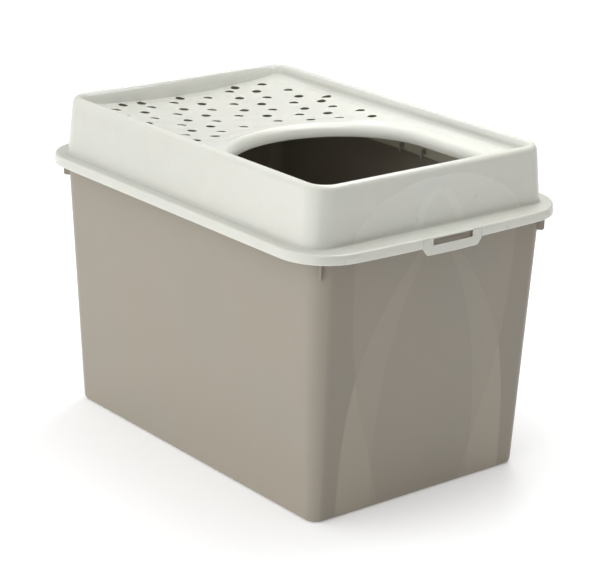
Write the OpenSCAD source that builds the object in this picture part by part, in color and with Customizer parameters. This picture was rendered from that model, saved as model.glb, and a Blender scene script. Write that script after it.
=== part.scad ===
// Top-entry cat litter box: a tall tapered tub and a hood that drops over its rim.
// Millimetres. X is the width, Y the length with the front at -Y, Z is up, and the origin is the
// middle of the underside. The hood lifts off along +Z. A latch at each short end hangs from the
// hood's skirt and swings outward off a catch on the tub.

/* [Overall] */
// Width over the hood's skirt
overall_w = 393; // [380:1:406]
// Length over the two latches
overall_l = 572; // [560:1:584]
// Height to the top of the hood's rim
overall_h = 404; // [396:1:412]
// Wall thickness of the tub and the hood
wall = 2.2; // [2:0.1:2.6]

/* [Tub] */
// Width of the tub at the floor
tub_base_w = 318; // [300:1:330]
// Length of the tub at the floor
tub_base_l = 488; // [470:1:500]
// Width of the tub just below its flange
tub_top_w = 346; // [336:1:350]
// Length of the tub just below its flange
tub_top_l = 522; // [512:1:526]
// Corner radius of the tub at the floor
tub_base_r = 17; // [12:1:24]
// Corner radius of the tub at the top
tub_top_r = 26; // [20:1:34]
// Radius of the bottom edge
tub_edge_r = 6; // [3:1:9]
// How far the floor panel stands above the foot ring
foot_step = 1; // [0.5:0.1:2]
// Width of the foot ring
foot_ring = 9; // [6:1:14]
// Height of the flange's top face
flange_z = 331; // [328:1:333]
// Height of the rails along the tub's long sides, above the flange
rail_rise = 8; // [5:0.5:9]

/* [Hood] */
// Width of the hood wall at its foot
hood_base_w = 355; // [352:1:360]
// Length of the hood wall at its foot
hood_base_l = 514; // [508:1:518]
// Width of the hood wall at the top
hood_top_w = 341; // [336:1:346]
// Length of the hood wall at the top
hood_top_l = 509; // [504:1:512]
// Corner radius of the hood
hood_r = 29; // [24:1:36]
// Roundover of the hood's top edge
hood_edge_r = 6.5; // [3:0.5:7]
// Width of the rim round the top
rim_w = 10.5; // [9:0.5:11.5]
// Height of the skirt's lower edge
skirt_z = 321.5; // [318:0.5:324]
// Corner radius of the skirt
skirt_r = 62; // [50:1:70]
// How far each short end of the skirt bows outward
skirt_bow = 3.5; // [0:0.5:4]
// Height of the perforated deck's upper face
deck_z = 380; // [376:1:384]
// Slope of the well's long sides, from the rim in to the deck; the ends slope half as much
well_inset = 6; // [4:0.5:8]

/* [Entry] */
// Width of the entry opening
entry_w = 264; // [230:2:270]
// Depth of the arch at the back of the opening
arch_l = 112; // [90:1:118]
// Where the arch begins, along the length
arch_y = -75; // [-85:1:-70]
// Front edge of the opening, along the length
entry_front_y = -195; // [-200:1:-185]
// Radius of the opening's front corners
entry_r = 30; // [20:1:36]
// Height of the lower edge of the collar
collar_z = 366; // [363:1:370]

/* [Drain holes] */
// Diameter of a drain hole
hole_d = 12; // [8:0.5:12.5]
// Step from one hole group to the next, across the width
group_dx = -27; // [-30:0.5:-24]
// The same step along the length
group_dy = -46.5; // [-50:0.5:-42]
// Distance between neighbouring columns of groups
column_dx = 91.5; // [88:0.5:96]

/* [Latches] */
// Width of a latch at its lower edge
latch_w = 76; // [70:1:80]
// Height of a latch's lower edge
latch_z = 312.5; // [311:0.5:315]
// Width of the window in a latch
window_w = 60; // [52:1:62]
// Height of the window's lower edge
window_z = 323.5; // [322:0.5:325]

/* [Hidden] */
$fn = 64;
clear = 0.3;                          // least gap between the tub, the hood and the latches
cut = 1;                              // overrun of a cutting solid
shelf_z = flange_z + clear + wall;    // upper face of the hood's shelf
floor_top = foot_step + 3;            // upper face of the tub's floor
skirt_w = overall_w;
latch_t = wall;                       // thickness of a latch
latch_proud = 1;                      // how far a latch stands out from the skirt
skirt_l = overall_l - 2 * (latch_proud + skirt_bow);
latch_chamfer = 6;                    // slope at each side of a latch's hanging part
latch_top = flange_z - clear;         // upper end of a latch's arms, where it bends
notch_w = latch_w + 2 * latch_chamfer;
catch_w = window_w - 4;
catch_z = window_z + 0.7;             // underside of a catch
lug_t = 3;                            // thickness of a corner lug
lug_out = 8;                          // how far a corner lug stands out
lug_z = 300;                          // lower end of a corner lug
rib_t = 1.6;                          // thickness of a locating rib
rib_y = [2, -39];                     // places of the locating ribs along each long side
rib_low = flange_z + 6;               // lower and upper ends of a rib
rib_high = flange_z + 19;
rib_deep = 4;                         // how far a rib stands into the hood
rib_head = 8;                         // height of the part that joins the hood wall
rib_root_x = hood_base_w / 2 - wall - 0.3;
hole_max_x = 147.5;                   // furthest place of a drain hole across the width
hole_max_y = 234.7;                   // furthest place of a drain hole along the length
deck_corner = [148, 200];             // no drain holes beyond this, where the deck's corners round off
plain_spot = [6, 104];                // the one spot in the hole pattern without a hole
shell_colour = "#b0a696";
hood_colour = "#e4e4de";

// Points of a quarter circle of radius r about (x, y), starting at angle a
function arc(x, y, r, a, steps) =
    [for (i = [0:steps]) [x + r * cos(a + 90 * i / steps), y + r * sin(a + 90 * i / steps)]];

// Points of one short end from x = half to x = -half, bowed by bow beyond y
function bowed_end(half, y, bow, steps) =
    [for (i = [1:steps - 1])
        let (x = half * (1 - 2 * i / steps)) [x, y + bow * (1 - pow(x / half, 2))]];

// Outline of the skirt and the flange, drawn inset from the skirt's outer face
module skirt_outline(inset) {
    r = skirt_r - inset;
    x = skirt_w / 2 - inset;
    y = skirt_l / 2 - inset;
    half = concat(arc(x - r, y - r, r, 0, 12), bowed_end(x - r, y, skirt_bow, 10),
                  arc(r - x, y - r, r, 90, 12));
    polygon(concat(half, [for (p = half) -p]));
}

// Outline of the entry opening, drawn larger by grow
module entry_outline(grow) {
    a = entry_w / 2 + grow;
    b = arch_l + grow;
    r = entry_r + grow;
    front = entry_front_y - grow;
    polygon(concat([for (t = [0:5:180]) [a * cos(t), arch_y + b * sin(t)]],
                   arc(r - a, front + r, r, 180, 8), arc(a - r, front + r, r, 270, 8)));
}

// A thin rounded rectangle at height z
module slab(w, l, r, z, h = 0.01) {
    translate([0, 0, z]) linear_extrude(height = h)
        union() {
            square([w - 2 * r, l], center = true);
            square([w, l - 2 * r], center = true);
            for (x = [-1, 1], y = [-1, 1])
                translate([x * (w / 2 - r), y * (l / 2 - r)]) circle(r = r);
        }
}

// The tapered block of the tub, inset from its outer faces, with a rounded bottom edge
module tub_block(inset, z_low, z_high) {
    function taper(base, top, z) = base + (top - base) * z / flange_z;
    module section(z, back)
        slab(taper(tub_base_w, tub_top_w, z) - 2 * back, taper(tub_base_l, tub_top_l, z) - 2 * back,
             taper(tub_base_r, tub_top_r, z) - back / 2, z);
    hull() {
        for (a = [0, 30, 60, 90])
            section(z_low + tub_edge_r * (1 - cos(a)), inset + tub_edge_r * (1 - sin(a)));
        section(z_high - 0.01, inset);
    }
}

// The tapered block of the hood, inset from its outer faces, with a rounded top edge
module hood_block(inset, z_low, z_high, edge) {
    function taper(base, top, z) = base + (top - base) * (z - shelf_z) / (overall_h - shelf_z);
    module section(z, back)
        slab(taper(hood_base_w, hood_top_w, z) - 2 * back, taper(hood_base_l, hood_top_l, z) - 2 * back,
             hood_r - back, z);
    hull() {
        section(z_low, inset);
        for (a = [0, 30, 60, 90])
            section(z_high - 0.01 - edge * (1 - sin(a)), inset + edge * (1 - cos(a)));
    }
}

// The well sunk into the top of the hood, drawn larger by grow
module well_block(grow, z_low, z_high) {
    top_w = hood_top_w - 2 * rim_w + 2 * grow;
    top_l = hood_top_l - 2 * rim_w + 2 * grow;
    r = hood_r - rim_w + grow;
    hull() {
        slab(top_w - 2 * well_inset, top_l - well_inset, r, z_low);
        slab(top_w, top_l, r, z_high - 0.01);
    }
}

// Places of the drain holes: groups of four in slanting columns
function hole_spots() = [
    for (m = [-2:6], n = [-3:3])
        let (gx = 91 + (m + n) * group_dx + n * column_dx, gy = 225 + (m + n) * group_dy + n * 4.5)
        for (d = [[-4, 18.5], [4, -18.5], [-26, 1], [26, -1]])
            let (x = gx + d[0], y = gy + d[1])
            if (abs(x) < 155 && y < 245 && on_deck(x, y)) drawn_in(x, y)];

// A place on the deck, moved in slantwise if a hole there would run into the well's wall
function drawn_in(x, y) =
    let (over_x = max(abs(x) - hole_max_x, 0), over_y = max(y - hole_max_y, 0))
    [x - sign(x) * over_x - 0.7 * over_y, y - over_y - 1.3 * over_x];

// True where a drain hole clears the slope that rises to the collar, the deck's rounded corners and
// the one spot in the pattern that is left plain
function on_deck(x, y) =
    let (margin = 31, arch_x = x / (entry_w / 2 + margin), arch_v = (y - arch_y) / (arch_l + margin))
    y > arch_y && arch_x * arch_x + arch_v * arch_v > 1
    && !(abs(x) > deck_corner[0] && y > deck_corner[1])
    && norm([x - plain_spot[0], y - plain_spot[1]]) > hole_d;

module tub() {
    color(shell_colour) {
        difference() {
            tub_block(0, 0, flange_z);
            tub_block(wall, floor_top, flange_z + cut);
            translate([0, 0, -cut])
                slab(tub_base_w - 4 * foot_ring, tub_base_l - 4 * foot_ring, tub_base_r, 0, foot_step + cut);
        }
        difference() {
            union() {
                translate([0, 0, flange_z - wall])
                    linear_extrude(height = wall) skirt_outline(wall + 1);
                translate([0, 0, skirt_z + 1.5])
                    linear_extrude(height = flange_z - skirt_z - 1.5 - wall)
                        difference() {
                            skirt_outline(wall + 1);
                            skirt_outline(2 * wall + 1);
                        }
            }
            translate([0, 0, skirt_z])
                slab(tub_top_w - 2 * wall, tub_top_l - 2 * wall, tub_top_r - wall, 0, flange_z);
        }
        for (side = [-1, 1])
            translate([side * (tub_top_w / 2 - wall / 2), 0, flange_z + rail_rise / 2])
                cube([wall, tub_top_l - 4 * tub_top_r, rail_rise], center = true);
    }
}

// Four stiffening lugs, one across each corner of the tub, under the flange
module corner_lugs() {
    reach = tub_top_r + lug_out;
    color(shell_colour)
        for (x = [-1, 1], y = [-1, 1])
            translate([x * (tub_top_w / 2 - tub_top_r - 0.8), y * (tub_top_l / 2 - tub_top_r - 0.8), 0])
                rotate([0, 0, atan2(y, x)])
                    translate([0, lug_t / 2, 0]) rotate([90, 0, 0])
                        linear_extrude(height = lug_t)
                            polygon(concat([[tub_top_r - 1, flange_z - wall],
                                            [tub_top_r - 1, lug_z]],
                                           arc(reach - 3, lug_z + 3, 3, 270, 4),
                                           [[reach, flange_z - wall]]));
}

// Catch that a latch snaps under: a ramp on the flange's lip, bowed outward in plan
module catch_nose() {
    root_y = -(skirt_l / 2 + skirt_bow - wall - 1);
    tip_y = -(overall_l / 2 - latch_t - clear);
    color(shell_colour)
        translate([0, 0, catch_z])
            linear_extrude(height = flange_z - catch_z - 1)
                polygon(concat([for (i = [0:12])
                                    let (x = catch_w * (i / 12 - 0.5))
                                    [x, tip_y + 1.2 * pow(2 * x / catch_w, 2)]],
                               [[catch_w / 2, root_y + 1.2], [-catch_w / 2, root_y + 1.2]]));
}

module front_catch() catch_nose();

module rear_catch() rotate([0, 0, 180]) catch_nose();

module lid() {
    color(hood_colour) difference() {
        union() {
            difference() {
                union() {
                    hood_block(0, shelf_z - wall, overall_h, hood_edge_r);
                    translate([0, 0, skirt_z])
                        linear_extrude(height = shelf_z - skirt_z) skirt_outline(0);
                }
                translate([0, 0, skirt_z - cut])
                    linear_extrude(height = shelf_z - wall - skirt_z + cut) skirt_outline(wall);
                difference() {
                    hood_block(wall, shelf_z - wall - cut, overall_h - wall, hood_edge_r - wall);
                    well_block(wall, deck_z - wall, overall_h);
                }
            }
            translate([0, 0, collar_z])
                linear_extrude(height = deck_z + 1 - collar_z)
                    difference() {
                        entry_outline(wall);
                        entry_outline(0);
                    }
        }
        well();
        translate([0, 0, collar_z - cut])
            linear_extrude(height = overall_h - collar_z) entry_outline(0);
        latch_notch();
        rotate([0, 0, 180]) latch_notch();
        drain_holes();
    }
}

// The space above the deck, with the collar left standing in it
module well() {
    difference() {
        well_block(0, deck_z, overall_h + cut);
        translate([0, 0, deck_z - cut])
            linear_extrude(height = cut + 1) entry_outline(wall + 4);
    }
}

module drain_holes() {
    for (p = hole_spots())
        translate([p[0], p[1], deck_z - wall - cut]) cylinder(h = wall + 2 * cut, d = hole_d, $fn = 24);
}

// The gap in the skirt that a latch hangs in
module latch_notch() {
    translate([-notch_w / 2 - clear, -overall_l / 2 - cut, skirt_z - cut])
        cube([notch_w + 2 * clear, 3 * wall + cut, shelf_z - wall - skirt_z + cut]);
}

// Ribs inside the hood that keep it centred on the tub's rails
module locating_ribs() {
    outer_x = tub_top_w / 2 - wall - clear;
    color(hood_colour)
        for (side = [0, 1], y = rib_y)
            mirror([side, 0, 0]) translate([0, y + rib_t / 2, 0]) rotate([90, 0, 0])
                linear_extrude(height = rib_t)
                    polygon([[outer_x - rib_deep, rib_low + 1], [outer_x - rib_deep + 1, rib_low],
                             [outer_x, rib_low], [outer_x, rib_high - rib_head],
                             [rib_root_x, rib_high - rib_head], [rib_root_x, rib_high],
                             [outer_x - rib_deep, rib_high - 2]]);
}

// A latch with two arms, a window between them and a hanging lower bar
module latch() {
    half = latch_w / 2;
    wide = notch_w / 2;
    color(hood_colour)
        translate([0, -overall_l / 2 + latch_t, 0]) rotate([90, 0, 0])
            linear_extrude(height = latch_t)
                polygon([[-wide, latch_top], [-wide, skirt_z - 1], [-half, latch_z],
                         [half, latch_z], [wide, skirt_z - 1], [wide, latch_top],
                         [window_w / 2, latch_top], [window_w / 2, window_z],
                         [-window_w / 2, window_z], [-window_w / 2, latch_top]]);
}

module front_latch() latch();

module rear_latch() rotate([0, 0, 180]) latch();

tub();
corner_lugs();
front_catch();
rear_catch();
lid();
locating_ribs();
front_latch();
rear_latch();
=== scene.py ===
"""Top-entry cat litter box: a tapered tub and a lift-off hood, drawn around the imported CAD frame.

Lengths in the mesh code are millimetres, turned into metres when a mesh is made. X is the width,
Y the length with the front at -Y, Z is up.
"""
from math import atan2, cos, exp, hypot, pi, radians, sin, tan

import bmesh
import bpy
from mathutils import Matrix, Vector
from mathutils.geometry import delaunay_2d_cdt
from mathutils.kdtree import KDTree


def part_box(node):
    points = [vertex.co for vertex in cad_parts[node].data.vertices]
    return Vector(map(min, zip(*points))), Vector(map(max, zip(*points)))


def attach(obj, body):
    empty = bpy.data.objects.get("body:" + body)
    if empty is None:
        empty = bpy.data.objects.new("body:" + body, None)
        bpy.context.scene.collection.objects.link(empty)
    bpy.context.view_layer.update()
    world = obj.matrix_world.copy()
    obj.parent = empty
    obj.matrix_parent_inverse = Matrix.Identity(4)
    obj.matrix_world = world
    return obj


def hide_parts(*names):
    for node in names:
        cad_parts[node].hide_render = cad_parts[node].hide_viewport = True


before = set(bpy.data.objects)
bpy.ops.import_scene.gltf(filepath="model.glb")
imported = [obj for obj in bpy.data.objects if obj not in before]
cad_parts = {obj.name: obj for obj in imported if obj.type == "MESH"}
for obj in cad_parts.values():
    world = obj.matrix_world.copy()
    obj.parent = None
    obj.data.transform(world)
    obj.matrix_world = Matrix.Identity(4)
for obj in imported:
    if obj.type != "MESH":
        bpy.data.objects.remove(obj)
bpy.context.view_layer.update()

MM = 0.001


def box_mm(node):
    low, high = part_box(node)
    return Vector(low) / MM, Vector(high) / MM


# ---------------------------------------------------------------- sizes from the CAD frame
LID_LOW, LID_HIGH = box_mm("lid")
LATCH_LOW, LATCH_HIGH = box_mm("front_latch")
CATCH_LOW, CATCH_HIGH = box_mm("front_catch")
TUB_HIGH = box_mm("tub")[1]

WALL = 2.2                             # wall of both mouldings
TOP = LID_HIGH.z                       # top of the rim
SKIRT_X = LID_HIGH.x                   # half the width of the skirt
SKIRT_BOW = 3.5                        # how far a short end of the skirt bows out
SKIRT_Y = LID_HIGH.y - SKIRT_BOW       # half the length of the skirt at its corners
SKIRT_LOW = LID_LOW.z                  # lower edge of the skirt
SKIRT_R = 62.0
FLANGE = 331.0                         # top face of the tub's flange
RAIL_TOP = TUB_HIGH.z                  # top of the rails on the tub's long sides
SHELF = FLANGE + 0.3 + WALL            # upper face of the hood's shelf
NOTCH = 44.3                           # half the width of the gap that a latch hangs in

# ---------------------------------------------------------------- outlines
CORNER_STEPS = 12
# Places along a straight side, from -1 to 1; the close pairs are where a rail or a notch ends
LONG_STEPS = [-1, -0.97, -0.93, -0.9, -0.888, -0.876, -0.86, -0.8, -0.7, -0.6, -0.5, -0.4, -0.3, -0.2,
              -0.1, 0, 0.1, 0.2, 0.3, 0.4, 0.5, 0.6, 0.7, 0.8, 0.86, 0.876, 0.888, 0.9, 0.93, 0.97, 1]
NOTCH_AT = NOTCH / (SKIRT_X - SKIRT_R)
END_STEPS = [-1, -0.9, -0.8, -0.7, -0.6, -0.5, -0.42, -0.36, -NOTCH_AT - 0.0016, -NOTCH_AT, -0.3, -0.22,
             -0.14, -0.07, 0, 0.07, 0.14, 0.22, 0.3, NOTCH_AT, NOTCH_AT + 0.0016, 0.36, 0.42, 0.5, 0.6,
             0.7, 0.8, 0.9, 1]
TIGHTEST = 0.8                         # no ring's corner is rounded less than this


def outline(hx, hy, r, bow=0.0):
    """Points of a rounded rectangle, anticlockwise, always the same number in the same places."""
    points = []
    r = max(r, TIGHTEST)
    ix, iy = hx - r, hy - r

    def corner(cx, cy, start):
        for i in range(1, CORNER_STEPS):
            a = start + pi / 2 * i / CORNER_STEPS
            points.append((cx + r * cos(a), cy + r * sin(a)))

    points.extend((hx, iy * t) for t in LONG_STEPS)
    corner(ix, iy, 0)
    points.extend((-ix * t, hy + bow * (1 - t * t)) for t in END_STEPS)
    corner(-ix, iy, pi / 2)
    points.extend((-hx, -iy * t) for t in LONG_STEPS)
    corner(-ix, -iy, pi)
    points.extend((ix * t, -hy - bow * (1 - t * t)) for t in END_STEPS)
    corner(ix, -iy, 3 * pi / 2)
    return points


def skirt_outline(inset):
    return outline(SKIRT_X - inset, SKIRT_Y - inset, SKIRT_R - inset, SKIRT_BOW)


def flat(points, z):
    return [(x, y, z) for x, y in points]


def quarter(steps):
    return [pi / 2 * i / steps for i in range(steps + 1)]


# ---------------------------------------------------------------- mesh helpers
class Shell:
    """Collects rings of points and the faces between them."""

    def __init__(self):
        self.bm = bmesh.new()

    def ring(self, points):
        return [self.bm.verts.new((x * MM, y * MM, z * MM)) for x, y, z in points]

    def bridge(self, a, b):
        n = len(a)
        for i in range(n):
            j = (i + 1) % n
            self.bm.faces.new((a[i], a[j], b[j], b[i]))

    def loft(self, rings, first=None):
        """Joins each ring to the next and returns the first and the last ring of vertices."""
        made = [first] if first else []
        for points in rings:
            made.append(self.ring(points))
            if len(made) > 1:
                self.bridge(made[-2], made[-1])
        return made[0], made[-1]

    def cap(self, ring):
        self.bm.faces.new(ring)

    def finish(self, name, material, body, node, angle=35.0):
        bm = self.bm
        bmesh.ops.recalc_face_normals(bm, faces=bm.faces)
        for face in bm.faces:
            face.smooth = True
        for edge in bm.edges:
            if len(edge.link_faces) == 2 and edge.calc_face_angle(0.0) > radians(angle):
                edge.smooth = False
        mesh = bpy.data.meshes.new(name)
        bm.to_mesh(mesh)
        bm.free()
        piece = bpy.data.objects.new(name, mesh)
        bpy.context.scene.collection.objects.link(piece)
        mesh.materials.append(material)
        weighted = piece.modifiers.new("weighted", "WEIGHTED_NORMAL")
        weighted.keep_sharp = True
        weighted.weight = 60
        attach(piece, body)
        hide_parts(node)
        return piece


def smooth_step(u):
    u = min(max(u, 0.0), 1.0)
    return u * u * (3 - 2 * u)


def mix(a, b, t):
    return a + (b - a) * t


def triangulate(loops, extra):
    """Fills the first loop less the others. Returns the triangles as indices into loops + extra."""
    points, edges, faces, at = [], [], [], 0
    for loop in loops:
        n = len(loop)
        points.extend(Vector(p[:2]) for p in loop)
        edges.extend((at + i, at + (i + 1) % n) for i in range(n))
        turn = sum(loop[i - 1][0] * loop[i][1] - loop[i][0] * loop[i - 1][1] for i in range(n))
        face = list(range(at, at + n))
        faces.append(face if turn > 0 else face[::-1])
        at += n
    points.extend(Vector(p[:2]) for p in extra)
    out = delaunay_2d_cdt(points, edges, faces, 0, 1e-7, True)
    verts, tris, origin, inside = out[0], out[2], out[3], out[5]
    if len(verts) != len(points) or any(len(o) != 1 for o in origin):
        raise ValueError(f"triangulation moved points: {len(points)} in, {len(verts)} out")
    return [tuple(origin[i][0] for i in tri) for tri, src in zip(tris, inside) if list(src) == [0]]


# ---------------------------------------------------------------- tub
TUB_BASE = (159.0, 244.0, 17.0)
TUB_TOP = (173.0, 261.0, 26.0)
FOOT_STEP = 1.0
FLOOR = 4.0
RAIL_END = 209.0


def tub_at(z, inset):
    t = z / FLANGE
    hx, hy, r = (mix(a, b, t) for a, b in zip(TUB_BASE, TUB_TOP))
    return outline(hx - inset, hy - inset, r - inset)


def rail_share(x, y):
    """1 on the rails along the long sides, 0 elsewhere."""
    if abs(x) < 160:
        return 0.0
    return 1 - smooth_step((abs(y) - RAIL_END) / 4 + 0.5)


def build_tub(material):
    s = Shell()
    edge_r = 6.0
    rings = [flat(tub_at(0, inset), z) for inset, z in
             ((18.0, FOOT_STEP), (17.2, FOOT_STEP * 0.95), (16.6, FOOT_STEP * 0.5), (16.0, 0.05),
              (15.2, 0.0))]
    rings += [flat(tub_at(edge_r * (1 - cos(a)), edge_r * (1 - sin(a))), edge_r * (1 - cos(a)))
              for a in quarter(8)]
    rings += [flat(tub_at(z, 0), z) for z in (12, 24, 60, 110, 160, 210, 260, 300, 318, 325)]
    under = FLANGE - WALL
    rings += [flat(tub_at(under - 2 + 2 * sin(a), -2 * (1 - cos(a))), under - 2 + 2 * sin(a))
              for a in quarter(4)]
    # the flange's underside, its lip and its top face
    lip_out, lip_in, lip_low = WALL + 1, 2 * WALL + 1, SKIRT_LOW + 1.5
    rings += [flat(skirt_outline(lip_in + 1 - sin(a)), under - 1 + cos(a)) for a in quarter(3)]
    half = (lip_in - lip_out) / 2
    rings += [flat(skirt_outline(lip_out + half + half * cos(a * 2)), lip_low + half - half * sin(a * 2))
              for a in quarter(6)]
    rings += [flat(skirt_outline(lip_out + 1 - cos(a)), FLANGE - 1 + sin(a)) for a in quarter(3)]
    # the rail on the long sides fades into a plain rounded edge on the short ends
    for on_rail, on_edge in (((2.9, FLANGE), (2.9, FLANGE)), ((2.35, FLANGE + 0.3), (1.6, FLANGE - 0.01)),
                             ((2.2, RAIL_TOP - 0.9), (1.2, FLANGE - 0.06)),
                             ((2.0, RAIL_TOP - 0.3), (1.0, FLANGE - 0.12)),
                             ((1.6, RAIL_TOP), (0.8, FLANGE - 0.2)),
                             ((0.6, RAIL_TOP), (0.35, FLANGE - 0.5)),
                             ((0.2, RAIL_TOP - 0.3), (0.2, FLANGE - 0.7)),
                             ((0.0, RAIL_TOP - 0.9), (0.08, FLANGE - 1.0)), ((0.0, 329.0), (0.0, 329.0))):
        rail = tub_at(FLANGE, WALL - on_rail[0])
        edge = tub_at(FLANGE, WALL - on_edge[0])
        ring = []
        for (ax, ay), (bx, by) in zip(edge, rail):
            m = rail_share(ax, ay)
            ring.append((mix(ax, bx, m), mix(ay, by, m), mix(on_edge[1], on_rail[1], m)))
        rings.append(ring)
    rings += [flat(tub_at(z, WALL), z) for z in (310, 260, 200, 140, 80, 30, 14)]
    floor_r = 6.0
    rings += [flat(tub_at(FLOOR + floor_r * (1 - sin(a)), WALL + floor_r * (1 - cos(a))),
                   FLOOR + floor_r * (1 - sin(a))) for a in quarter(7)]
    rings += [flat(tub_at(FLOOR, WALL + inset), FLOOR) for inset in (12, 60)]
    first, last = s.loft(rings)
    s.cap(first)
    s.cap(last)
    return s.finish("tub_shell", material, "tub", "tub")


# ---------------------------------------------------------------- hood
HOOD_BASE = (177.5, 257.0)
HOOD_TOP = (170.5, 254.5)
HOOD_R = 29.0
FILLET = 2.5                                      # where the hood's side meets its shelf
RIM = 12.5                                        # from the outer edge in to the brow's foot
RIM_EDGE = 6.5                                    # roundover of the rim's outer edge
BROW_IN, BROW_DOWN = 5.8, 10.0                    # the brow, where the rim curves down into the well
DECK_HX, DECK_HY, DECK_R = 154.6, 241.8, 18.0     # where the well's wall meets the deck's fillet
DECK_LOW = 377.0                                  # lowest point of the dished deck
COLLAR_TOP, COLLAR_LOW = 382.3, 366.0             # the collar's crest and its lower lip
COLLAR_FOOT = 17.5                                # where the collar's roll starts, out from the opening
COLLAR_ROLL = 10.0                                # where the roll reaches its crest
COLLAR_NOSE = 14.0                                # how far the collar turns down from its crest
# The entry opening: half an ellipse behind ENTRY_Y, straight sides before it, rounded front corners
ENTRY_A, ENTRY_B, ENTRY_Y, ENTRY_FRONT, ENTRY_R = 132.0, 112.0, -75.0, -195.0, 30.0


def hood_at(z, inset):
    t = (z - SHELF) / (TOP - SHELF)
    return outline(mix(HOOD_BASE[0], HOOD_TOP[0], t) - inset, mix(HOOD_BASE[1], HOOD_TOP[1], t) - inset,
                   HOOD_R - inset)


def lip_distance(x, y):
    """How far a point of the deck is out from the edge of the entry opening."""
    if y >= ENTRY_Y:
        low, high = -100.0, 500.0
        for _ in range(40):
            d = (low + high) / 2
            if (x / (ENTRY_A + d)) ** 2 + ((y - ENTRY_Y) / (ENTRY_B + d)) ** 2 > 1:
                low = d
            else:
                high = d
        return low
    corner_y = ENTRY_FRONT + ENTRY_R
    if y >= corner_y:
        return abs(x) - ENTRY_A
    corner_x = ENTRY_A - ENTRY_R
    if abs(x) > corner_x:
        return hypot(abs(x) - corner_x, y - corner_y) - ENTRY_R
    return ENTRY_FRONT - y


def entry_outline(d):
    a, b, r, front = ENTRY_A + d, ENTRY_B + d, ENTRY_R + d, ENTRY_FRONT - d
    points = [(a * cos(pi * i / 88), ENTRY_Y + b * sin(pi * i / 88)) for i in range(89)]
    points += [(-a, mix(ENTRY_Y, ENTRY_FRONT + ENTRY_R, i / 12)) for i in range(1, 12)]
    points += [(-(a - r) + r * cos(pi + t), front + r + r * sin(pi + t)) for t in quarter(12)]
    points += [(mix(-(a - r), a - r, i / 22), front) for i in range(1, 22)]
    points += [((a - r) + r * cos(1.5 * pi + t), front + r + r * sin(1.5 * pi + t)) for t in quarter(12)]
    points += [(a, mix(ENTRY_FRONT + ENTRY_R, ENTRY_Y, i / 12)) for i in range(1, 12)]
    return points


# The drain holes stand in groups of four on a slanting lattice, as in the CAD
HOLE_R = 6.0
HOLE_ORIGIN, HOLE_ROW, HOLE_STEP = (91, 225), (-27, -46.5), (91.5, 4.5)
HOLE_GROUP = [(-4, 18.5, False), (4, -18.5, False), (-26, 1, True), (26, -1, True)]    # True has a hump
HOLE_FIELD_X, HOLE_FIELD_Y = 155, 245             # no lattice place beyond these is used
HOLE_CORNER = (148, 200)                          # nor one past both of these
HOLE_MARGIN = 31                                  # nor one this near the entry opening
PLAIN_SPOT, PLAIN_R = (6, 104), 12                # nor this one, where the deck is plain
HOLE_MAX_X, HOLE_MAX_Y = 147.5, 234.7             # a hole past these is drawn in beside the wall


def hole_wanted(x, y):
    clear = (x / (ENTRY_A + HOLE_MARGIN)) ** 2 + ((y - ENTRY_Y) / (ENTRY_B + HOLE_MARGIN)) ** 2
    corner = abs(x) > HOLE_CORNER[0] and y > HOLE_CORNER[1]
    plain = hypot(x - PLAIN_SPOT[0], y - PLAIN_SPOT[1]) < PLAIN_R
    return abs(x) < HOLE_FIELD_X and ENTRY_Y < y < HOLE_FIELD_Y and clear > 1 and not corner and not plain


def hole_spots():
    """Centres of the drain holes, with True where a small hump stands before one."""
    spots = []
    for m in range(-2, 7):
        for n in range(-3, 4):
            gx = HOLE_ORIGIN[0] + (m + n) * HOLE_ROW[0] + n * HOLE_STEP[0]
            gy = HOLE_ORIGIN[1] + (m + n) * HOLE_ROW[1] + n * HOLE_STEP[1]
            for dx, dy, humped in HOLE_GROUP:
                x, y = gx + dx, gy + dy
                if hole_wanted(x, y):
                    over_x, over_y = max(abs(x) - HOLE_MAX_X, 0), max(y - HOLE_MAX_Y, 0)
                    x -= (over_x if x > 0 else -over_x) + 0.7 * over_y
                    spots.append((x, y - over_y - 1.3 * over_x, humped))
    return spots


HOLES = hole_spots()
HUMPS = [(x - 4.2, y - 3.8) for x, y, humped in HOLES if humped]
HUMP_HIGH, HUMP_X, HUMP_Y = 1.1, 4.2, 3.4         # height of a hump and its spread each way
HOLE_DEEP = 1.1                                   # the deck is thinner round a hole
HOLE_SIDES, HOLE_EDGE = 24, 0.55                  # corners of a hole's rim, and its rounding


def dish(x, y):
    back = max(y - 100.0, -40.0) / 100
    return DECK_LOW + 3.6 * (x / 100) ** 2 + 2.5 * back * back


def deck_z(x, y):
    """Height of the deck's upper face: the dish, the slope up to the collar, the fillet and the humps."""
    z = dish(x, y)
    d = lip_distance(x, y)
    if ENTRY_Y < y and abs(x) < ENTRY_A + 40:
        side = 1 - smooth_step((abs(x) - 100) / 50)
        z += 1.8 * side * smooth_step((50 - d) / (50 - COLLAR_FOOT))
    ux, uy = abs(x) - DECK_HX + DECK_R, abs(y) - DECK_HY + DECK_R
    edge = DECK_R - (hypot(ux, uy) if ux > 0 and uy > 0 else max(ux, uy))
    rear = smooth_step((y - 195) / 35)
    z += mix(1.6, 1.2, rear) * max(1 - edge / 5.0, 0) ** 2
    fade = smooth_step((edge - 2) / 6)
    for hx, hy in HUMPS:
        u, v = (x - hx) / HUMP_X, (y - hy) / HUMP_Y
        if abs(u) < 3.5 and abs(v) < 3.5:
            z += fade * HUMP_HIGH * exp(-(u * u + v * v) / 2)
    return z


# The well's wall from the deck's fillet to the brow, as shares of the way out and of the way up
WELL_WALL = [(0.0, 0.0), (0.2, 0.05), (0.4, 0.14), (0.58, 0.27), (0.74, 0.43), (0.87, 0.62),
             (0.96, 0.82), (1.0, 1.0)]


def hood_ring(inset, z):
    return flat(hood_at(z, inset), z)


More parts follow.
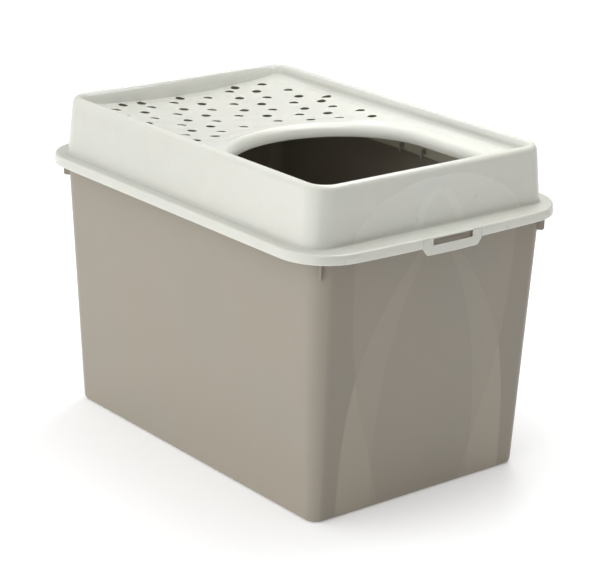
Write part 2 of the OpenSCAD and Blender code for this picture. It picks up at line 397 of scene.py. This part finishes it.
def notch_share(x, y):
    """1 where the skirt is cut away for a latch, 0 elsewhere."""
    return 1.0 if abs(x) < NOTCH + 0.05 and abs(y) > 200 else 0.0


def skirt_ring(inset, z, cut_inset, cut_z):
    plain, cut = skirt_outline(inset), skirt_outline(cut_inset)
    return [(cx, cy, cut_z) if notch_share(px, py) else (px, py, z)
            for (px, py), (cx, cy) in zip(plain, cut)]


def hole_rim(cx, cy, out):
    turns = [2 * pi * i / HOLE_SIDES for i in range(HOLE_SIDES)]
    return [(cx + (HOLE_R + out) * cos(a), cy + (HOLE_R + out) * sin(a)) for a in turns]


def build_hood(material):
    s = Shell()
    # ---- upper side: the deck's edge, the well wall, the rim, the outer wall, the shelf, the skirt
    rings = []
    foot = outline(DECK_HX, DECK_HY, DECK_R)
    rim_hx, rim_hy, rim_r = HOOD_TOP[0] - RIM, HOOD_TOP[1] - RIM, HOOD_R - RIM
    brow = outline(rim_hx, rim_hy, rim_r)
    for out, up in WELL_WALL:
        rings.append([(mix(fx, bx, out), mix(fy, by, out), mix(deck_z(fx, fy), TOP - BROW_DOWN, up))
                      for (fx, fy), (bx, by) in zip(foot, brow)])
    for a in quarter(10)[1:]:
        back = BROW_IN * (1 - cos(a))
        rings.append(flat(outline(rim_hx + back, rim_hy + back, rim_r + back),
                          TOP - BROW_DOWN * (1 - sin(a))))
    for a in quarter(8)[:-1]:
        back = RIM_EDGE * (1 - sin(a))
        rings.append(flat(outline(HOOD_TOP[0] - back, HOOD_TOP[1] - back, HOOD_R - back),
                          TOP - RIM_EDGE * (1 - cos(a))))
    rings += [hood_ring(0, z) for z in (TOP - RIM_EDGE, 390, 370, 350, SHELF + FILLET)]
    rings += [flat(hood_at(SHELF + FILLET * (1 - sin(a)), -FILLET * (1 - cos(a))),
                   SHELF + FILLET * (1 - sin(a)))
              for a in quarter(5)[1:]]
    top_r = 2.6
    rings += [flat(skirt_outline(8.0), SHELF - 0.1)]
    rings += [skirt_ring(0.5 + top_r * (1 - sin(a)), SHELF - 0.15 - top_r * (1 - cos(a)),
                         0.5 + 1.6 * (1 - sin(a)), SHELF - 0.15 - 1.6 * (1 - cos(a)))
              for a in quarter(6)]
    low_r = 0.9
    rings += [skirt_ring(0.25, SKIRT_LOW + 6, 0.5, SHELF - 1.8)]
    rings += [skirt_ring(low_r * (1 - cos(a)), SKIRT_LOW + low_r * (1 - sin(a)),
                         0.5 + 0.3 * (1 - cos(a)), SHELF - WALL + 0.3 * (1 - sin(a)))
              for a in quarter(4)]
    # ---- under side: the skirt's inner face, the shelf's under face, the inner wall, the hollow rim
    rings += [skirt_ring(WALL - 0.4 * cos(a), SKIRT_LOW + 0.4 * (1 - cos(a)),
                         WALL + 0.4 * sin(a), SHELF - WALL) for a in quarter(2)]
    rings += [skirt_ring(WALL, SHELF - WALL - 1, WALL + 0.8, SHELF - WALL),
              skirt_ring(WALL + 0.3, SHELF - WALL - 0.3, WALL + 1.2, SHELF - WALL),
              skirt_ring(WALL + 1.0, SHELF - WALL, WALL + 1.8, SHELF - WALL)]
    rings += [flat(hood_at(SHELF - WALL, WALL - 0.8), SHELF - WALL),
              flat(hood_at(SHELF - WALL, WALL - 0.25), SHELF - WALL + 0.25),
              flat(hood_at(SHELF - WALL, WALL), SHELF - WALL + 0.9)]
    rings += [hood_ring(WALL, z) for z in (350, 370, 390)]
    roof = TOP - WALL
    hollow = RIM_EDGE - WALL
    rings += [flat(hood_at(roof, WALL + hollow * (1 - cos(a))), roof - hollow * (1 - sin(a)))
              for a in quarter(6)]
    rings += [flat(outline(rim_hx + WALL + 1.5 * (1 - sin(a)), rim_hy + WALL + 1.5 * (1 - sin(a)),
                           rim_r + WALL), roof - 1.5 * (1 - cos(a))) for a in quarter(3)]
    under = outline(rim_hx + WALL, rim_hy + WALL, rim_r + WALL)
    for out, up in reversed(WELL_WALL):
        rings.append([(mix(fx, bx, out), mix(fy, by, out),
                       mix(deck_z(fx, fy), roof - 4, up) - WALL * (1 - up))
                      for (fx, fy), (bx, by) in zip(foot, under)])
    deck_top, deck_under = s.loft(rings)

    # ---- the deck: both faces are filled from the same triangles
    edge = rings[0]
    foot = entry_outline(COLLAR_FOOT)
    hole_loops = [hole_rim(x, y, HOLE_EDGE) for x, y, _ in HOLES]
    loops = [[p[:2] for p in edge], foot] + hole_loops
    fixed = KDTree(sum(len(loop) for loop in loops))
    count = 0
    for loop in loops:
        for p in loop:
            fixed.insert((p[0], p[1], 0), count)
            count += 1
    fixed.balance()
    # points between the loops, on a triangular grid that keeps clear of every edge
    pitch = 3.4
    extra = []
    row = 0
    y = -DECK_HY
    while y < DECK_HY:
        x = -DECK_HX + (pitch / 2 if row % 2 else 0)
        while x < DECK_HX:
            inside = abs(x) < DECK_HX - 1.8 and abs(y) < DECK_HY - 1.8
            corner = hypot(max(abs(x) - DECK_HX + DECK_R, 0), max(abs(y) - DECK_HY + DECK_R, 0))
            if inside and corner < DECK_R - 1.8 and lip_distance(x, y) > COLLAR_FOOT + 1.5:
                in_hole = any(hypot(x - hx, y - hy) < HOLE_R + 1.6 for hx, hy, _ in HOLES)
                if not in_hole and fixed.find((x, y, 0))[2] > 1.5:
                    extra.append((x, y))
            x += pitch
        y += pitch * 0.866
        row += 1
    tris = triangulate(loops, extra)

    def face_verts(ring, drop, hole_drop):
        verts = list(ring)
        for loop in loops[1:] + [extra]:
            down = hole_drop if len(loop) == HOLE_SIDES else drop
            for x, y in loop:
                z = deck_z(x, y) - down
                verts.append(s.bm.verts.new((x * MM, y * MM, z * MM)))
        return verts

    upper = face_verts(deck_top, 0.0, 0.0)
    lower = face_verts(deck_under, WALL, HOLE_DEEP)
    for a, b, c in tris:
        s.bm.faces.new((upper[a], upper[b], upper[c]))
        s.bm.faces.new((lower[c], lower[b], lower[a]))

    # ---- hole walls, with a rounded edge above and below
    at = len(edge) + len(foot)
    for cx, cy, _ in HOLES:
        top_ring, low_ring = upper[at:at + HOLE_SIDES], lower[at:at + HOLE_SIDES]
        at += HOLE_SIDES
        heights = [deck_z(x, y) for x, y in hole_rim(cx, cy, HOLE_EDGE)]
        steps = [[(x, y, z - drop) for (x, y), z in zip(hole_rim(cx, cy, out), heights)]
                 for out, drop in ((0.28, 0.08), (0.08, 0.28), (0.0, 0.5), (0.0, HOLE_DEEP - 0.3),
                                   (0.12, HOLE_DEEP - 0.1))]
        _, last = s.loft(steps, first=top_ring)
        s.bridge(last, low_ring)

    # ---- the collar: up the roll, over, down to the lip and back under
    foot_at = len(edge)
    foot_top, foot_low = upper[foot_at:foot_at + len(foot)], lower[foot_at:foot_at + len(foot)]

    def roll(d, drop):
        ring = []
        for (x, y), (fx, fy) in zip(entry_outline(d), foot):
            t = (COLLAR_FOOT - d) / (COLLAR_FOOT - COLLAR_ROLL)
            # along the sides the slope starts at a crisp edge, behind the arch it grows out of the deck
            rise = mix(smooth_step(t), sin(pi / 2 * t), smooth_step((abs(x) - 110) / 25))
            ring.append((x, y, mix(deck_z(fx, fy), COLLAR_TOP, rise) - drop))
        return ring

    collar = [roll(d, 0) for d in (16.7, 15.8, 14.9, 14.0, 13.1, 12.2, 11.4, 10.7)]
    collar += [flat(entry_outline(COLLAR_ROLL * (1 - sin(a))), COLLAR_TOP - COLLAR_NOSE * (1 - cos(a)))
               for a in quarter(14)]
    lip = WALL / 2
    collar += [flat(entry_outline(lip * (1 - cos(2 * a))), COLLAR_LOW + lip - lip * sin(2 * a))
               for a in quarter(6)]
    collar += [flat(entry_outline(COLLAR_ROLL - (COLLAR_ROLL - WALL) * cos(a)),
                    COLLAR_TOP - COLLAR_NOSE + (COLLAR_NOSE - WALL) * sin(a)) for a in quarter(6)]
    collar += [roll(d, WALL) for d in (10.7, 12.2, 14.0, 15.8)]
    _, last = s.loft(collar, first=foot_top)
    s.bridge(last, foot_low)
    return s.finish("hood_shell", material, "lid", "lid", angle=40.0)


# ---------------------------------------------------------------- plates: latches, lugs, ribs
def plate(s, outer, thick, r, place, steps=3):
    """A flat plate with rounded edges. The outline is (u, v); place maps (u, v, w) to a point, with w
    from 0 at the back to thick at the front."""

    def shifted(back):
        n = len(outer)
        out = []
        for i in range(n):
            a, b, c = Vector(outer[i - 1]), Vector(outer[i]), Vector(outer[(i + 1) % n])
            n1 = Vector((-(b - a).y, (b - a).x)).normalized()
            n2 = Vector((-(c - b).y, (c - b).x)).normalized()
            m = (n1 + n2) / max(1 + n1.dot(n2), 0.2)
            out.append(b + m * back)
        return out

    inner = shifted(r)
    front, back = [], []
    for u, v in inner:
        front.append(s.ring([place(u, v, thick)])[0])
        back.append(s.ring([place(u, v, 0.0)])[0])
    for a, b, c in triangulate([inner], []):
        s.bm.faces.new((front[a], front[b], front[c]))
        s.bm.faces.new((back[c], back[b], back[a]))
    turns = quarter(steps)[1:]
    rings = [[place(u, v, thick - r * (1 - cos(a))) for u, v in shifted(r * (1 - sin(a)))] for a in turns]
    rings += [[place(u, v, r * (1 - cos(a))) for u, v in shifted(r * (1 - sin(a)))]
              for a in reversed(turns)]
    _, last = s.loft(rings, first=front)
    s.bridge(last, back)


def rounded_path(points, radii, steps=5):
    """A closed anticlockwise polygon with its corners rounded."""
    out = []
    n = len(points)
    for i, (p, r) in enumerate(zip(points, radii)):
        a, b, c = Vector(points[i - 1]), Vector(p), Vector(points[(i + 1) % n])
        if r <= 0:
            out.append((b.x, b.y))
            continue
        u, v = (a - b).normalized(), (c - b).normalized()
        half = u.angle(v) / 2
        reach = r / tan(half)
        centre = b + (u + v).normalized() * (r / sin(half))
        start, end = b + u * reach, b + v * reach
        a0 = atan2(start.y - centre.y, start.x - centre.x)
        a1 = atan2(end.y - centre.y, end.x - centre.x)
        while a1 - a0 > pi:
            a1 -= 2 * pi
        while a1 - a0 < -pi:
            a1 += 2 * pi
        for k in range(steps + 1):
            t = a0 + (a1 - a0) * k / steps
            out.append((centre.x + r * cos(t), centre.y + r * sin(t)))
    return out


def split_long(loop, longest):
    """Adds points so that no edge is longer than this, for plates that are bent."""
    out = []
    n = len(loop)
    for i in range(n):
        a, b = Vector(loop[i]), Vector(loop[(i + 1) % n])
        parts = max(1, int((b - a).length / longest + 0.999))
        out.extend(tuple(a + (b - a) * k / parts) for k in range(parts))
    return out


def build_latch(material, side, name, body, node):
    """side is -1 at the front and 1 at the rear."""
    s = Shell()
    half, wide = 38.0, NOTCH - 0.15
    low, chamfer, top = LATCH_LOW.z, 320.5, SHELF - WALL - 0.15
    outer = rounded_path([(-wide, top), (-wide, chamfer), (-half, low), (half, low), (wide, chamfer),
                          (wide, top), (30, top), (30, 323.5), (-30, 323.5), (-30, top)],
                         [0.8, 3.0, 3.5, 3.5, 3.0, 0.8, 0.8, 1.0, 1.0, 0.8])
    outer = split_long(outer, 4.0)
    face_out = abs(LATCH_HIGH.y if side > 0 else LATCH_LOW.y)
    bow_half = SKIRT_X - SKIRT_R
    proud = face_out - LID_HIGH.y

    def place(u, v, w):
        # flush with the skirt at each side and proud of it in the middle
        bow = SKIRT_BOW * (u / bow_half) ** 2 + proud * (u / wide) ** 2
        return (-u * side, side * (face_out - WALL + w - bow), v)

    plate(s, outer, WALL, 0.7, place)
    return s.finish(name, material, body, node)


def build_catch(material, side, name, node):
    """A ramp that the latch snaps under, bowed outward in plan."""
    s = Shell()
    low, high = CATCH_LOW.z, CATCH_HIGH.z
    tip, root = abs(CATCH_LOW.y), abs(CATCH_HIGH.y)
    half = CATCH_HIGH.x
    profile = [(root, low), (tip - 0.35, low), (tip - 0.08, low + 0.15), (tip, low + 0.45),
               (tip - 0.02, low + 1.5), (tip - 0.2, low + 2.0), (tip - 1.6, high - 0.5),
               (tip - 2.0, high - 0.1), (tip - 2.4, high), (root, high)]
    stations = 28
    rings = []
    for i in range(stations + 1):
        x = half * (2 * i / stations - 1)
        bow = 1.2 * (x / half) ** 2
        rings.append([(x, side * max(y - bow, root - 1.2), z) for y, z in profile])
    first, last = s.loft(rings)
    s.cap(first)
    s.cap(last)
    return s.finish(name, material, "tub", node)


def build_lugs(material):
    """Four plates across the tub's corners, under the flange."""
    s = Shell()
    r, out, low, top, thick = TUB_TOP[2], 8.0, 300.0, FLANGE - WALL, 3.0
    loop = rounded_path([(r - 1.0, low), (r + out, low), (r + out, top), (r - 1.0, top)],
                        [0, 3.0, 0, 0], steps=4)
    for sx in (-1, 1):
        for sy in (-1, 1):
            cx, cy = sx * (TUB_TOP[0] - r - 0.8), sy * (TUB_TOP[1] - r - 0.8)
            a = atan2(sy, sx)

            def place(u, v, w, cx=cx, cy=cy, a=a):
                t = w - thick / 2
                return (cx + u * cos(a) - t * sin(a), cy + u * sin(a) + t * cos(a), v)

            plate(s, loop, thick, 0.5, place)
    return s.finish("tub_lugs", material, "tub", "corner_lugs")


RIB_PLACES = (2.0, -39.0)              # where a pair of ribs stands along the length, on each side


def build_ribs(material):
    """Small ribs inside the hood that keep it centred on the tub's rails."""
    s = Shell()
    thick, outer_x = 1.6, TUB_TOP[0] - WALL - 0.3
    low, high, deep, head = FLANGE + 6, FLANGE + 19, 4.0, 8.0
    root = HOOD_BASE[0] - WALL - 0.3
    points = [(outer_x - deep, low + 1), (outer_x - deep + 1, low), (outer_x, low), (outer_x, high - head),
              (root, high - head), (root, high), (outer_x - deep, high - 2)]
    for side in (-1, 1):
        for y0 in RIB_PLACES:
            def place(u, v, w, side=side, y0=y0):
                return (side * u, y0 + side * (thick / 2 - w), v)

            plate(s, points, thick, 0.3, place, steps=2)
    return s.finish("hood_ribs", material, "lid", "locating_ribs")


# ---------------------------------------------------------------- materials
class Nodes:
    """Short ways to add and join shader nodes."""

    def __init__(self, name):
        self.material = bpy.data.materials.new(name)
        self.material.use_nodes = True
        self.tree = self.material.node_tree
        self.shader = next(n for n in self.tree.nodes if n.type == "BSDF_PRINCIPLED")

    def add(self, kind, **values):
        node = self.tree.nodes.new(kind)
        for key, value in values.items():
            setattr(node, key, value)
        return node

    def link(self, a, b):
        self.tree.links.new(a, b)

    def math(self, op, *values):
        node = self.add("ShaderNodeMath", operation=op)
        for v, socket in zip(values, node.inputs):
            if isinstance(v, (int, float)):
                socket.default_value = v
            else:
                self.link(v, socket)
        return node.outputs[0]

    def noise(self, scale, detail, roughness, vector):
        node = self.add("ShaderNodeTexNoise")
        node.inputs["Scale"].default_value = scale
        node.inputs["Detail"].default_value = detail
        node.inputs["Roughness"].default_value = roughness
        self.link(vector, node.inputs["Vector"])
        return node.outputs["Fac"]

    def ramp(self, value, low, high, to_low=0.0, to_high=1.0):
        node = self.add("ShaderNodeMapRange", clamp=True)
        self.link(value, node.inputs["Value"])
        for key, v in (("From Min", low), ("From Max", high), ("To Min", to_low), ("To Max", to_high)):
            node.inputs[key].default_value = v
        return node.outputs["Result"]

    def curve(self, value, points, span_in, span_out):
        """A smooth curve through (in, out) points; both spans start at 0."""
        node = self.add("ShaderNodeFloatCurve")
        track = node.mapping.curves[0]
        pts = sorted((a / span_in, b / span_out) for a, b in points)
        while len(track.points) < len(pts):
            track.points.new(0.5, 0.5)
        for point, (a, b) in zip(track.points, pts):
            point.location = (a, b)
        node.mapping.update()
        self.link(self.math("DIVIDE", value, span_in * MM), node.inputs["Value"])
        return self.math("MULTIPLY", node.outputs[0], span_out * MM)


GLOW_DEPTH = 0.006                     # how far light spreads inside the plastic, in metres


def plastic(name, warm, cool, rough, grain, wear, glow, arcs=None):
    """Moulded polypropylene: fine grain, slow colour drift, uneven gloss, faint scuffs, worn edges.
    wear scales the scuffs, glow is the share of light that passes through the skin, and
    arcs(nodes, x, z, front) returns a term for tone and one for gloss."""
    n = Nodes(name)
    coords = n.add("ShaderNodeTexCoord").outputs["Object"]
    split = n.add("ShaderNodeSeparateXYZ")
    n.link(coords, split.inputs[0])
    x, y, z = split.outputs
    drift = n.noise(6.0, 3.0, 0.55, coords)
    mottle = n.noise(45.0, 4.0, 0.6, coords)
    fine = n.noise(900.0, 2.0, 0.6, coords)

    tone = n.add("ShaderNodeMix", data_type="RGBA")
    n.link(n.ramp(drift, 0.35, 0.65), tone.inputs["Factor"])
    tone.inputs["A"].default_value = (*warm, 1)
    tone.inputs["B"].default_value = (*cool, 1)
    colour = tone.outputs["Result"]
    shade = n.ramp(mottle, 0.3, 0.7, 0.985, 1.012)

    # faint scuffs run mostly along the length of a face
    stretch = n.add("ShaderNodeMapping")
    stretch.inputs["Scale"].default_value = (22.0, 22.0, 240.0)
    stretch.inputs["Rotation"].default_value = (0.12, 0.08, 0.3)
    n.link(coords, stretch.inputs["Vector"])
    scuff = n.ramp(n.noise(1.0, 3.0, 0.7, stretch.outputs["Vector"]), 0.66, 0.78)
    patches = n.ramp(n.noise(11.0, 2.0, 0.5, coords), 0.5, 0.68)
    scuff = n.math("MULTIPLY", n.math("MULTIPLY", scuff, patches), wear)
    shade = n.math("ADD", shade, n.math("MULTIPLY", scuff, 0.03))

    pointy = n.add("ShaderNodeNewGeometry").outputs["Pointiness"]
    edge = n.ramp(pointy, 0.52, 0.6)
    edge = n.math("MULTIPLY", edge, n.ramp(mottle, 0.4, 0.6))
    shade = n.math("ADD", shade, n.math("MULTIPLY", edge, 0.02))

    roughness = n.math("ADD", n.ramp(mottle, 0.3, 0.7, rough - 0.03, rough + 0.03),
                       n.math("MULTIPLY", scuff, 0.12))
    if arcs is not None:
        normal = n.add("ShaderNodeNewGeometry").outputs["True Normal"]
        facing = n.add("ShaderNodeSeparateXYZ")
        n.link(normal, facing.inputs[0])
        front = n.ramp(n.math("MULTIPLY", facing.outputs[1], -1.0), 0.9, 0.97)
        side_tone, side_gloss = arcs(n, x, z, n.math("MULTIPLY", front, n.math("LESS_THAN", y, -0.2)))
        shade = n.math("ADD", shade, side_tone)
        roughness = n.math("ADD", roughness, side_gloss)
    scaled = n.add("ShaderNodeVectorMath", operation="SCALE")
    n.link(colour, scaled.inputs[0])
    n.link(shade, scaled.inputs["Scale"])
    n.link(scaled.outputs[0], n.shader.inputs["Base Color"])
    n.link(roughness, n.shader.inputs["Roughness"])

    bump = n.add("ShaderNodeBump")
    bump.inputs["Strength"].default_value = grain
    bump.inputs["Distance"].default_value = 0.0002
    height = n.math("ADD", n.math("MULTIPLY", fine, 0.7), n.math("MULTIPLY", mottle, 0.3))
    n.link(height, bump.inputs["Height"])
    n.link(bump.outputs[0], n.shader.inputs["Normal"])
    n.shader.inputs["IOR"].default_value = 1.49
    n.shader.inputs["Subsurface Weight"].default_value = glow
    n.shader.inputs["Subsurface Radius"].default_value = (1.0, 0.9, 0.75)
    n.shader.inputs["Subsurface Scale"].default_value = GLOW_DEPTH
    return n.material


# Half-widths of the arcs on the tub's front, against height, in millimetres
TUB_ARC_OUTER = [(0, 62), (43, 75), (87, 87.5), (123, 100),
                 (180, 112), (230, 118), (307, 122), (FLANGE, 122.5)]
TUB_ARC_MIDDLE = [(0, 127), (77, 125), (130, 119), (180, 107), (220, 90), (260, 66), (295, 40), (FLANGE, 8)]
TUB_ARC_INNER = [(0, 74), (67, 77), (113, 75), (170, 67.5), (217, 56), (260, 41), (300, 20), (FLANGE, 0)]
ARC_SOFT = 0.0012                      # half the width of an arc's edge, in metres


def outside(n, width, line):
    """1 where width is beyond the line, with a soft edge."""
    return n.ramp(n.math("SUBTRACT", width, line), -ARC_SOFT, ARC_SOFT)


def tub_arcs(n, x, z, front):
    width = n.math("ABSOLUTE", x)
    outer, middle, inner = (outside(n, width, n.curve(z, arc, FLANGE, 150))
                            for arc in (TUB_ARC_OUTER, TUB_ARC_MIDDLE, TUB_ARC_INNER))
    # a band between the inner and the middle arc, and a wedge where it lies outside the outer arc
    band = n.math("MULTIPLY", inner, n.math("SUBTRACT", 1.0, middle))
    wedge = n.math("MULTIPLY", outer, n.math("SUBTRACT", 1.0, middle))
    tone = n.math("ADD", n.math("MULTIPLY", band, 0.07), n.math("MULTIPLY", outer, -0.08))
    tone = n.math("ADD", tone, n.math("MULTIPLY", wedge, 0.17))
    gloss = n.math("ADD", n.math("MULTIPLY", band, 0.05), n.math("MULTIPLY", outer, 0.08))
    return n.math("MULTIPLY", tone, front), n.math("MULTIPLY", gloss, front)


# Heights of the arcs on the hood's front, against the distance from their middle, in millimetres
HOOD_ARC_OUTER = [(0, 392), (30, 391.5), (60, 384), (85, 374),
                  (105, 361), (122, 345), (130, 333), (180, 330)]
HOOD_ARC_BAND = [(0, 380), (10, 377), (20, 370), (30, 357), (38, 338), (44, 320), (60, 300), (180, 290)]
HOOD_ARC_CORE = [(0, 371), (6, 369), (14, 361), (20, 350), (27, 332), (33, 315), (50, 297), (180, 290)]


def hood_arcs(n, x, z, front):
    low = 290.0                        # the curves start at this height
    width = n.math("ABSOLUTE", n.math("SUBTRACT", x, 0.003))

    def below(points, soft=ARC_SOFT):
        line = n.curve(width, [(a, b - low) for a, b in points], 180, 120)
        return n.ramp(n.math("SUBTRACT", n.math("ADD", line, low * MM), z), -soft, soft)

    arch, door, core = below(HOOD_ARC_OUTER), below(HOOD_ARC_BAND, 0.003), below(HOOD_ARC_CORE, 0.003)
    band = n.math("MULTIPLY", door, n.math("SUBTRACT", 1.0, core))
    tone = n.math("ADD", n.math("MULTIPLY", arch, 0.06), n.math("MULTIPLY", band, 0.05))
    gloss = n.math("MULTIPLY", arch, 0.1)
    return n.math("MULTIPLY", tone, front), n.math("MULTIPLY", gloss, front)


FLOOR_WHITE = 0.87
FLOOR_GLOW = 0.21                      # what lifts the plain floor to white
FLOOR_HALF = 60.0                      # half the floor's width in metres, so no view shows its end


def floor_material():
    n = Nodes("floor")
    coords = n.add("ShaderNodeTexCoord").outputs["Object"]
    n.link(n.ramp(n.noise(3.0, 2.0, 0.5, coords), 0.3, 0.7, 0.7, 0.72), n.shader.inputs["Roughness"])
    n.shader.inputs["Base Color"].default_value = (FLOOR_WHITE, FLOOR_WHITE, FLOOR_WHITE, 1)
    n.shader.inputs["Specular IOR Level"].default_value = 0.2
    n.shader.inputs["Emission Color"].default_value = (1.0, 1.0, 1.0, 1)
    n.shader.inputs["Emission Strength"].default_value = FLOOR_GLOW
    return n.material


# the two ends of each plastic's colour, then its roughness, grain, wear and glow
TAUPE = ((0.272, 0.238, 0.190), (0.264, 0.238, 0.194), 0.42, 0.12, 0.5, 0.0)
WHITE = ((0.560, 0.556, 0.505), (0.552, 0.560, 0.512), 0.2, 0.04, 0.1, 0.4)

tub_front = plastic("tub_plastic", *TAUPE, tub_arcs)
hood_front = plastic("hood_plastic", *WHITE, hood_arcs)
tub_plain = plastic("tub_plastic_plain", *TAUPE)
hood_plain = plastic("hood_plastic_plain", *WHITE)

# ---------------------------------------------------------------- pieces
build_tub(tub_front)
build_lugs(tub_plain)
build_catch(tub_plain, -1, "front_catch_nose", "front_catch")
build_catch(tub_plain, 1, "rear_catch_nose", "rear_catch")
build_hood(hood_front)
build_ribs(hood_plain)
build_latch(hood_plain, -1, "front_latch_tab", "front_latch", "front_latch")
build_latch(hood_plain, 1, "rear_latch_tab", "rear_latch", "rear_latch")

# ---------------------------------------------------------------- stage, light and camera
floor_mesh = bpy.data.meshes.new("floor")
floor_mesh.from_pydata([(-FLOOR_HALF, -FLOOR_HALF, 0), (FLOOR_HALF, -FLOOR_HALF, 0),
                        (FLOOR_HALF, FLOOR_HALF, 0), (-FLOOR_HALF, FLOOR_HALF, 0)], [], [(0, 1, 2, 3)])
floor_mesh.materials.append(floor_material())
floor = bpy.data.objects.new("floor", floor_mesh)
bpy.context.scene.collection.objects.link(floor)

scene = bpy.context.scene
world = bpy.data.worlds.new("studio")
world.use_nodes = True
scene.world = world


def studio_light(base, lobes):
    """A plain dome with broad bright areas, each (toward, strength, low, high): it grows from 0 where
    the cosine of the angle to its middle is low to its full strength where it is high."""
    tree = world.node_tree
    direction = tree.nodes.new("ShaderNodeTexCoord").outputs["Generated"]
    total = None
    for toward, strength, low, high in lobes:
        dot = tree.nodes.new("ShaderNodeVectorMath")
        dot.operation = "DOT_PRODUCT"
        dot.inputs[1].default_value = Vector(toward).normalized()
        tree.links.new(direction, dot.inputs[0])
        spread = tree.nodes.new("ShaderNodeMapRange")
        spread.interpolation_type = "SMOOTHSTEP"
        for key, v in (("From Min", low), ("From Max", high), ("To Min", 0.0), ("To Max", strength)):
            spread.inputs[key].default_value = v
        tree.links.new(dot.outputs["Value"], spread.inputs["Value"])
        add = tree.nodes.new("ShaderNodeMath")            # its operation is ADD
        tree.links.new(spread.outputs["Result"], add.inputs[0])
        add.inputs[1].default_value = base
        if total:
            tree.links.new(total, add.inputs[1])
        total = add.outputs[0]
    background = tree.nodes["Background"]
    background.inputs["Color"].default_value = (1.0, 1.0, 1.0, 1)
    tree.links.new(total, background.inputs["Strength"])


studio_light(0.1, [((-1, 0.3, 0.1), 1.25, 0.1, 1.0), ((0, 0, 1), 0.7, 0.4, 0.95),
                   ((0.2, 1, 0.2), 0.45, 0.0, 1.0), ((0.1, -0.6, 0.8), 0.15, 0.5, 1.0)])
scene.view_settings.view_transform = "Standard"


def softbox(name, place, aim, width, height, power):
    data = bpy.data.lights.new(name, "AREA")
    data.shape = "RECTANGLE"
    data.size, data.size_y, data.energy = width, height, power
    light = bpy.data.objects.new(name, data)
    light.location = place
    light.visible_camera = False
    light.rotation_euler = (Vector(aim) - Vector(place)).to_track_quat("-Z", "Y").to_euler()
    scene.collection.objects.link(light)


# name, place, aim, width, height, watts
softbox("card", (-1.3, 0.1, 0.18), (0, 0.1, 0.18), 2.4, 0.35, 4)
softbox("spark", (1.35, 1.1, 2.2), (0, 0, 0.38), 0.7, 0.5, 12)
softbox("overhead", (0.14, -0.2, 0.9), (0, 0.2, 0.38), 0.5, 0.3, 3.1)
softbox("low", (0.5, -1.0, 0.1), (0, -0.28, 0.08), 1.0, 0.16, 0.3)

# the camera's turn, and its place in millimetres from a point CAMERA_Z above the floor's middle
CAMERA_AZ, CAMERA_EL, CAMERA_ROLL = radians(-38.78), radians(18.89), radians(1.38)
CAMERA_DISTANCE, CAMERA_X, CAMERA_Y, CAMERA_Z = 2650.54, 7.34, -13.05, 200.0
back = Vector((sin(CAMERA_AZ) * cos(CAMERA_EL), -cos(CAMERA_AZ) * cos(CAMERA_EL), sin(CAMERA_EL)))
right = Vector((cos(CAMERA_AZ), sin(CAMERA_AZ), 0))
up = back.cross(right)
right, up = (right * cos(CAMERA_ROLL) + up * sin(CAMERA_ROLL),
             up * cos(CAMERA_ROLL) - right * sin(CAMERA_ROLL))
spot = (Vector((0, 0, CAMERA_Z)) + back * CAMERA_DISTANCE + right * CAMERA_X + up * CAMERA_Y) * MM
camera_data = bpy.data.cameras.new("camera")
camera_data.lens, camera_data.sensor_width = 128.36, 36.0
camera_data.clip_start, camera_data.clip_end = 0.05, 100.0
camera = bpy.data.objects.new("camera", camera_data)
camera.matrix_world = Matrix(((right.x, up.x, back.x, spot.x), (right.y, up.y, back.y, spot.y),
                              (right.z, up.z, back.z, spot.z), (0, 0, 0, 1)))
scene.collection.objects.link(camera)
scene.camera = camera

bpy.context.view_layer.update()
